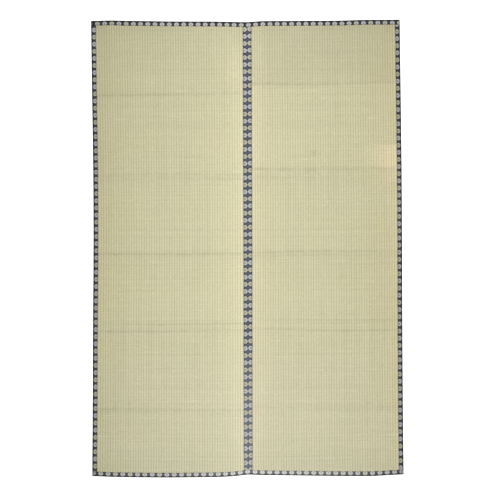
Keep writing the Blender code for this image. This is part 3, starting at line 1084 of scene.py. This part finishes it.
def rush_material():
    """Stems of rush laid across the ribs, each with its own tone, and darker with painted shade in the grooves
    where the warp pulls them in.
    What stem and rib are multiplied by, and what is added to across, keeps one noise apart from the next."""
    paint = Paint("rush_weave")
    across, along = paint.map("Weave")
    rib = across.floor()
    phase = across.part()
    parity = (rib * 0.5).part() * 2
    stems = along / STEM_PITCH + parity * 0.5
    stem = stems.floor() * 2 + parity
    stem_phase = stems.part()

    streak = paint.noise(across / STREAK_RIBS, stem * 7.31, detail=1.0)
    pale = paint.noise(across / STREAK_RIBS + 40, stem * 3.17, detail=0.0).ramp(0.72, 0.80)
    brown = paint.noise(across / BROWN_RIBS + 80, stem * 5.43, detail=0.0).ramp(0.74, 0.82)
    grown = paint.noise(across / GROWN_RIBS, along / GROWN_LENGTH)
    rib_tone = paint.noise(rib * 3.3, along / RIB_TONE_LENGTH, detail=0.0)
    # the grooves between ribs, which get painted shade below and a lower bump
    groove = 1 - phase.least(1 - phase).ramp(0.02, GROOVE_SHARE)
    loose = loose_stems(paint, across, along)
    bands = paint.noise(across / BAND_RIBS, along / BAND_LENGTH, detail=1.0)

    x, y = paint.place()
    # the tone value holds painted highlights and shade over the strip, and the marks below change it further
    blush, painted_light_and_bleach = paint.value("blush"), paint.value("tone")
    for mark in MARKS:
        beside = abs(x - mark.x * MM) / (mark.across * MM)
        beyond = abs(y - mark.y * MM) / (mark.along * MM)
        inside = (1 - beside.ramp(0, 1)) * (1 - beyond.ramp(mark.even, 1))
        blush = blush + inside * mark.blush
        painted_light_and_bleach = painted_light_and_bleach * (inside * mark.pale + 1)

    colour = paint.mix(grown.ramp(0.30, 0.70), RUSH_GREEN, RUSH_STRAW)
    colour = paint.mix((pale * 0.4).most(loose * 0.5), colour, RUSH_PALE)
    colour = paint.mix(brown * 0.4, colour, RUSH_BROWN)
    colour = paint.mix(paint.value("warmth"), colour, WARMTH, blend="MULTIPLY")
    colour = paint.mix(blush, colour, BLUSH, blend="MULTIPLY")
    tone = 1 + (streak - 0.5) * STREAK_TONE + (rib_tone - 0.5) * RIB_TONE + (bands - 0.5) * BAND_TONE
    tone = tone - groove * GROOVE_SHADE + loose * LOOSE_TONE
    # each stem's roundness, which shapes its bump and darkens its edges with painted shade
    swell = (stem_phase * pi).wave()
    # the crease value darkens the rush with painted shade along the creases
    tone = tone - (1 - swell) * STEM_EDGE_SHADE - paint.value("crease") * CREASE_SHADE
    colour = paint.shaded(colour, tone * painted_light_and_bleach)

    fibre = paint.noise(across * FIBRES_PER_RIB, along / FIBRE_LENGTH, detail=1.0) * FIBRE_RELIEF
    height = swell * STEM_RELIEF * (1 - groove * 0.6) + fibre
    return paint.finish(colour, height, roughness=0.52, specular=0.35)


def tape_material():
    """Woven tape: pale medallions of two kinds in turn on dark navy, and indigo diamonds on its middle."""
    paint = Paint("patterned_tape")
    across, along = paint.map("Tape")
    ahead = across.above(0) * COLUMN_SHIFT
    away = abs(across).snapped(TAPE_THREAD)
    place = (along - ahead).snapped(TAPE_THREAD / MEDALLION_PITCH)
    number = (place + 0.5).floor()
    kind = (number * 0.5).part() * 2
    from_middle = abs(place - number)

    inward = (MEDALLION_MIDDLE - away) / MEDALLION_MIDDLE
    outward = (away - MEDALLION_MIDDLE) / MEDALLION_OUTWARD
    width = inward.most(outward)
    length = from_middle * (MEDALLION_PITCH / MEDALLION_LENGTH)
    power = MEDALLION_SQUARENESS
    reach = (width ** power + length ** power) ** (1 / power)
    medallion = 1 - reach.ramp(*FIGURE_EDGE)
    core = ((((HEART_MIDDLE - away) / HEART_WIDTH).most(0)) ** 2
            + (from_middle * (MEDALLION_PITCH / HEART_LENGTH)) ** 2)
    heart = 1 - core.ramp(*HEART_EDGE)
    vein = 1 - core.ramp(*VEIN_EDGE)
    diamond = away / DIAMOND_WIDTH + (0.5 - from_middle) * (MEDALLION_PITCH / DIAMOND_LENGTH)

    petal = paint.mix(paint.value("fade"), paint.mix(kind, SILVER, CREAM), FADED)
    centre = paint.mix(paint.value("fade") * HEART_FADES, paint.mix(kind, TAUPE, OLIVE), FADED)
    figure = paint.mix(heart, petal, centre)
    figure = paint.mix(vein * VEIN_DARK, figure, GROUND)
    jewel = paint.mix(1 - diamond.ramp(*JEWEL_EDGE), INDIGO, INDIGO_PALE)
    shade = paint.value("shade")
    ground = paint.mix((1 - diamond.ramp(*FIGURE_EDGE)) * shade ** JEWEL_FOLDED, GROUND, jewel)
    selvage = abs(across).ramp(BINDING_WIDTH - SELVAGE, BINDING_WIDTH - SELVAGE / 2)
    ground = paint.mix(selvage, ground, GROUND)
    mottle = paint.noise(across / MOTTLE_LENGTH, along * MOTTLES_PER_PITCH) - 0.5
    ground = paint.mix(paint.value("dust") * (mottle * MOTTLE_DUST + 1), ground, DUST)
    colour = paint.mix(medallion, ground, figure)
    # painted shade along the tape's middle, where it is creased over the joint or folded round an edge
    middle_shade = 1 - abs(across).ramp(0, MIDDLE_SHADE_WIDTH)
    colour = paint.shaded(colour, (mottle * MOTTLE_TONE + 1) * (1 - middle_shade * MIDDLE_SHADE) * shade)

    weft = (along * (2 * pi * MEDALLION_PITCH / TAPE_THREAD)).wave()
    cords = (across * (2 * pi / TAPE_THREAD)).wave() * weft
    height = cords * CORD_RELIEF + medallion * FIGURE_RELIEF
    return paint.finish(colour, height, roughness=0.65, specular=0.25)


def thread_material():
    """Dark sewing thread, twisted and a little shiny."""
    paint = Paint("sewing_thread")
    x, y = paint.place()
    twist = ((x + y) * (2 * pi / THREAD_TWIST)).wave()
    base = paint.mix(paint.noise(x / THREAD_MOTTLE, y / THREAD_MOTTLE), THREAD, GROUND)
    height = twist * 0.03 * MM
    # the colour is lighter on each twist's crest and darker in its groove: painted shade of the twist
    return paint.finish(paint.shaded(base, 1 + twist * 0.2), height, roughness=0.5, specular=0.5)


# Stage, light and camera


def add_floor():
    """A plain pale floor just under the mat."""
    mesh = bpy.data.meshes.new("floor")
    corners = [(x * FLOOR_HALF, y * FLOOR_HALF, 0) for x, y in ((-1, -1), (1, -1), (1, 1), (-1, 1))]
    mesh.from_pydata(corners, [], [(0, 1, 2, 3)])
    floor = added("floor", mesh)
    floor.location.z = -FLOOR_DROP
    paint = Paint("pale_floor")
    for socket, value in FLOOR_LOOK.items():
        paint.shader.inputs[socket].default_value = value
    mesh.materials.append(paint.material)


def add_lights():
    """Even light from all sides, and a soft rectangular light that faces down."""
    world = bpy.data.worlds.new("soft_room")
    world.use_nodes = True
    background = world.node_tree.nodes["Background"]
    background.inputs["Color"].default_value = (1, 1, 1, 1)
    background.inputs["Strength"].default_value = ROOM_LIGHT
    bpy.context.scene.world = world
    light = bpy.data.lights.new("overhead_box", "AREA")
    light.shape = "RECTANGLE"
    light.size, light.size_y = LIGHT_SIZE
    light.energy = LIGHT_ENERGY
    lamp = added("overhead_box", light)
    lamp.location = LIGHT_PLACE
    lamp.visible_camera = False


def add_camera():
    """A camera that looks at the mat from its foot, well above it."""
    camera = added("camera", bpy.data.cameras.new("camera"))
    camera.data.sensor_width = SENSOR
    camera.data.lens = SENSOR * CAMERA_DISTANCE / VIEW_WIDTH
    camera.data.clip_end = 4 * CAMERA_DISTANCE
    elevation = radians(CAMERA_ELEVATION)
    back = Vector((0, -cos(elevation), sin(elevation)))
    camera.rotation_mode = "QUATERNION"
    camera.location = AIM + back * CAMERA_DISTANCE
    looking = (-back).to_track_quat("-Z", "Y").to_matrix()
    camera.rotation_quaternion = (looking @ Matrix.Rotation(radians(CAMERA_ROLL), 3, "Z")).to_quaternion()
    bpy.context.scene.camera = camera
    bpy.context.scene.view_settings.view_transform = "Standard"


def put_in(piece, material):
    """The piece lies in the mat's frame, with this material."""
    piece.data.materials.append(material)
    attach(piece, BODY)


def main():
    rush, tape, thread = rush_material(), tape_material(), thread_material()
    panels = {}
    for side in ("left", "right"):
        panels[side] = add_panel(side)
        put_in(panels[side], rush)
        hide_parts("rush_panel_" + side)
    tapes = {}
    for side in panels:
        tapes["edge_binding_" + side] = add_edge_tape(side)
    tapes["centre_tape"] = add_centre_tape()
    for end in ("top", "bottom"):
        tapes["end_binding_" + end] = add_end_tape(end)
    for node, (piece, stitches) in tapes.items():
        put_in(piece, tape)
        put_in(stitches, thread)
        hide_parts(node)
    add_floor()
    add_lights()
    add_camera()


main()
